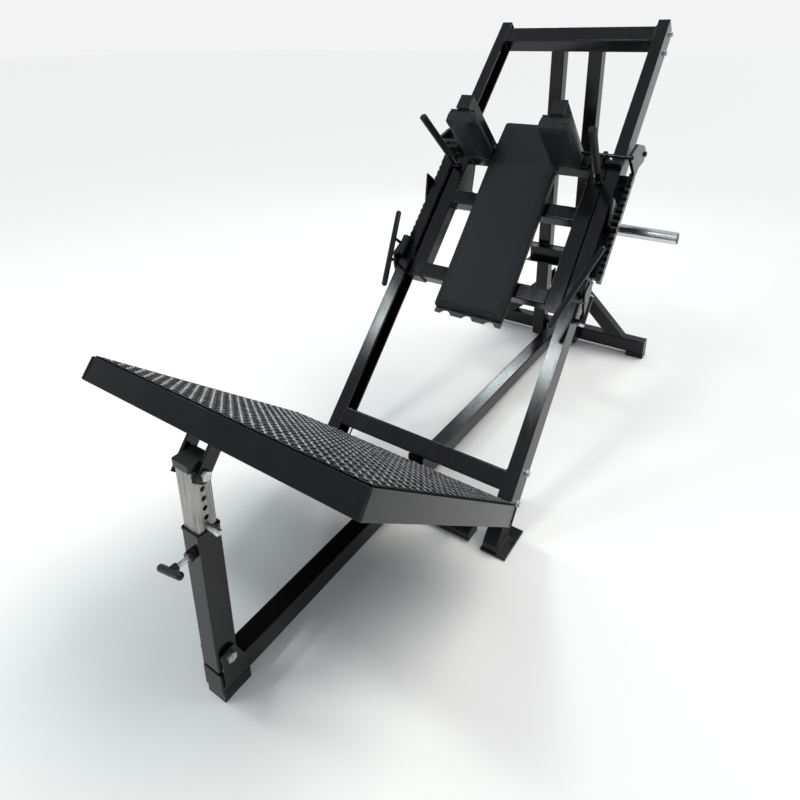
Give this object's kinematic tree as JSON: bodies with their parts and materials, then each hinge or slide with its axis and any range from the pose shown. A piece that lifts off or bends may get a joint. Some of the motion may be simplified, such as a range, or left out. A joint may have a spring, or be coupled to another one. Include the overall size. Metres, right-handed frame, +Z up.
{
  "type": "hack squat machine",
  "caption": "Plate-loaded hack squat: padded sled on inclined rails, tilting tread footplate on an adjustable post, swing-out stops and weight horns on the sled.",
  "frame": {"origin": "on the floor, at the centre of the bounding box", "axes": "+X towards the side of the stop pin's knob, +Y from the footplate to the rear uprights, +Z up"},
  "size_m": [1.152, 2.3692, 1.5558],
  "materials": {
    "coat": "gloss black powder coat",
    "tread": "gloss black tread plate",
    "vinyl": "dark slate vinyl",
    "rubber": "matt black",
    "plastic": "black moulded",
    "zinc": "zinc plated",
    "chrome": "polished"
  },
  "bodies": {
    "frame": {"spine": "coat", "front_foot": "coat", "post_ears": "coat", "mid_foot": "coat", "hinge_brackets": "coat", "rail_l": "coat", "rail_r": "coat", "rail_feet": "coat", "lower_crossbar": "coat", "top_crossbar": "coat", "upright_l": "coat", "upright_r": "coat", "upright_tie": "coat", "rear_beam": "coat", "braces": "coat", "rubber_feet": "rubber", "end_caps": "plastic", "frame_bolts": "zinc", "pivot_pins": "zinc", "stop_lugs": "coat", "racks": "coat"},
    "sled": {"sled_beam_l": "coat", "sled_beam_r": "coat", "sled_cross_top": "coat", "sled_cross_mid": "coat", "sled_cross_low": "coat", "axles": "zinc", "guide_blocks": "plastic", "pad_board": "plastic", "back_pad": "vinyl", "shoulder_pad_l": "vinyl", "shoulder_pad_r": "vinyl", "shoulder_arm_l": "coat", "shoulder_arm_r": "coat", "hand_grips": "coat", "grip_sleeves": "rubber", "sled_caps": "plastic", "horn_l": "chrome", "horn_r": "chrome"},
    "roller_ul": {"roller_ul": "plastic"},
    "roller_ur": {"roller_ur": "plastic"},
    "roller_ll": {"roller_ll": "plastic"},
    "roller_lr": {"roller_lr": "plastic"},
    "catch_l": {"catch_l": "coat"},
    "catch_r": {"catch_r": "coat"},
    "stop_lever_l": {"lever_l": "coat", "bumper_l": "rubber"},
    "stop_lever_r": {"lever_r": "coat", "bumper_r": "rubber"},
    "footplate": {"plate_tray": "coat", "plate_tread": "tread", "plate_lugs": "coat"},
    "post_outer": {"post_tube": "coat", "post_bush": "plastic"},
    "clamp": {"clamp_screw": "zinc", "clamp_grip": "plastic"},
    "post_inner": {"inner_tube": "zinc", "inner_plug": "plastic", "pivot_bolt": "zinc"},
    "stop_pin": {"stop_pin": "chrome"}
  },
  "joints": [
    {"name": "sled_slide", "type": "slide", "parent": "frame", "child": "sled", "axis": [0, 0.6909, 0.723], "range_m": [0, 0.4]},
    {"name": "roller_ul_turn", "type": "hinge", "parent": "sled", "child": "roller_ul", "pos_m": [-0.345, 0.60908, 0.99126], "axis": [1, 0, 0], "continuous": true},
    {"name": "roller_ur_turn", "type": "hinge", "parent": "sled", "child": "roller_ur", "pos_m": [0.345, 0.60908, 0.99126], "axis": [1, 0, 0], "continuous": true},
    {"name": "roller_ll_turn", "type": "hinge", "parent": "sled", "child": "roller_ll", "pos_m": [-0.345, 0.26709, 0.6334], "axis": [1, 0, 0], "continuous": true},
    {"name": "roller_lr_turn", "type": "hinge", "parent": "sled", "child": "roller_lr", "pos_m": [0.345, 0.26709, 0.6334], "axis": [1, 0, 0], "continuous": true},
    {"name": "catch_l_lift", "type": "hinge", "parent": "sled", "child": "catch_l", "pos_m": [-0.35, 0.58906, 1.07264], "axis": [1, 0, 0], "range_deg": [0, 25]},
    {"name": "catch_r_lift", "type": "hinge", "parent": "sled", "child": "catch_r", "pos_m": [0.35, 0.58906, 1.07264], "axis": [1, 0, 0], "range_deg": [0, 25]},
    {"name": "footplate_tilt", "type": "hinge", "parent": "frame", "child": "footplate", "pos_m": [0, -0.37249, 0.15], "axis": [-1, 0, 0], "range_deg": [0, 8]},
    {"name": "post_swing", "type": "hinge", "parent": "frame", "child": "post_outer", "pos_m": [0, -1.0901, 0.136], "axis": [-1, 0, 0], "range_deg": [0, 8]},
    {"name": "post_extend", "type": "slide", "parent": "post_outer", "child": "post_inner", "axis": [0, 0, 1], "range_m": [0, 0.105]},
    {"name": "stop_pin_pull", "type": "slide", "parent": "post_inner", "child": "stop_pin", "axis": [1, 0, 0], "range_m": [0, 0.06]},
    {"name": "clamp_turn", "type": "hinge", "parent": "post_outer", "child": "clamp", "pos_m": [0, -1.1501, 0.444], "axis": [0, -1, 0], "range_deg": [0, 360]},
    {"name": "stop_lever_l_swing", "type": "hinge", "parent": "frame", "child": "stop_lever_l", "pos_m": [-0.392, 0.25065, 0.58825], "axis": [0, -0.6909, -0.723], "range_deg": [0, 50]},
    {"name": "stop_lever_r_swing", "type": "hinge", "parent": "frame", "child": "stop_lever_r", "pos_m": [0.392, 0.25065, 0.58825], "axis": [0, 0.6909, 0.723], "range_deg": [0, 50]}
  ],
  "couplings": [
    {"joint": "roller_ul_turn", "follows": "sled_slide", "rad_per_m": 32.258},
    {"joint": "roller_ur_turn", "follows": "sled_slide", "rad_per_m": 32.258},
    {"joint": "roller_ll_turn", "follows": "sled_slide", "rad_per_m": 32.258},
    {"joint": "roller_lr_turn", "follows": "sled_slide", "rad_per_m": 32.258},
    {"joint": "post_swing", "follows": "footplate_tilt", "ratio": 0.9068},
    {"joint": "post_extend", "follows": "footplate_tilt", "m_per_rad": 0.7154}
  ]
}
